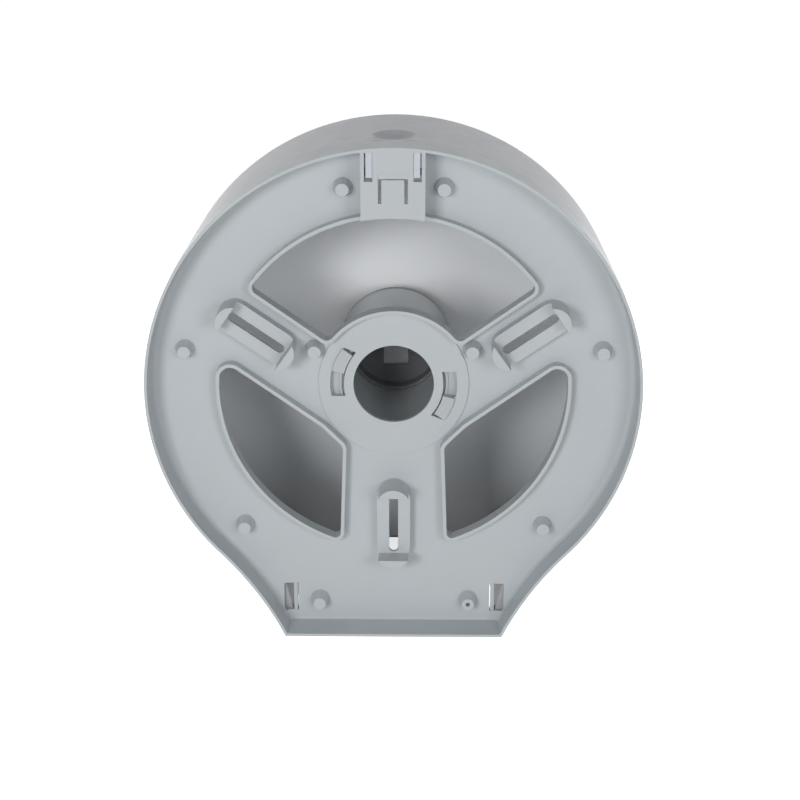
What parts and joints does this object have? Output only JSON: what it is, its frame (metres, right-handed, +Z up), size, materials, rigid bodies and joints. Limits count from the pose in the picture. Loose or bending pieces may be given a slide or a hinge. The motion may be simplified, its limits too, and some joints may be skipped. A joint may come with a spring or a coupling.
{
  "type": "jumbo toilet roll dispenser",
  "caption": "Wall dispenser for a jumbo toilet roll: round back plate on a flared foot, hinged locking cover, bayonet hub with a turning sleeve and a toothed tear strip.",
  "frame": {"origin": "on the axis of the roll, in the plane of the wall that the rim and the screw blocks stand on", "axes": "+X to the right as seen from the wall side, +Y away from the wall towards the front of the cover, +Z up"},
  "size_m": [0.27, 0.1135, 0.2804],
  "materials": {
    "plate_plastic": "light grey moulded plastic, fine satin texture",
    "cover_plastic": "mid grey moulded plastic, polished inside",
    "hub_plastic": "grey moulded plastic, semi-gloss",
    "sleeve_plastic": "light grey moulded plastic, polished",
    "slide_plastic": "off-white moulded plastic",
    "spring_steel": "drawn spring wire",
    "strip_steel": "stamped steel strip"
  },
  "bodies": {
    "back": {"back_plate": "plate_plastic", "lock_spring": "spring_steel"},
    "cover": {"front_cover": "cover_plastic", "tear_strip": "strip_steel", "hinge_pin_left": "hub_plastic", "hinge_pin_right": "hub_plastic"},
    "slide": {"lock_slide": "slide_plastic"},
    "spindle": {"roll_spindle": "hub_plastic", "spindle_cap": "hub_plastic"},
    "sleeve": {"core_sleeve": "sleeve_plastic"}
  },
  "joints": [
    {"name": "cover_hinge", "type": "hinge", "parent": "back", "child": "cover", "pos_m": [0, 0.0248, -0.1414], "axis": [-1, 0, 0], "range_deg": [0, 90]},
    {"name": "lock_press", "type": "slide", "parent": "back", "child": "slide", "axis": [0, 0, -1], "range_m": [0, 0.0016], "stiffness_N_per_m": 500, "springref_m": -0.003, "deforming": ["lock_spring"]},
    {"name": "spindle_twist", "type": "hinge", "parent": "back", "child": "spindle", "pos_m": [0, 0.02, 0], "axis": [0, -1, 0], "range_deg": [0, 24.5]},
    {"name": "sleeve_spin", "type": "hinge", "parent": "spindle", "child": "sleeve", "pos_m": [0, 0.059, 0], "axis": [0, 1, 0], "continuous": true}
  ]
}
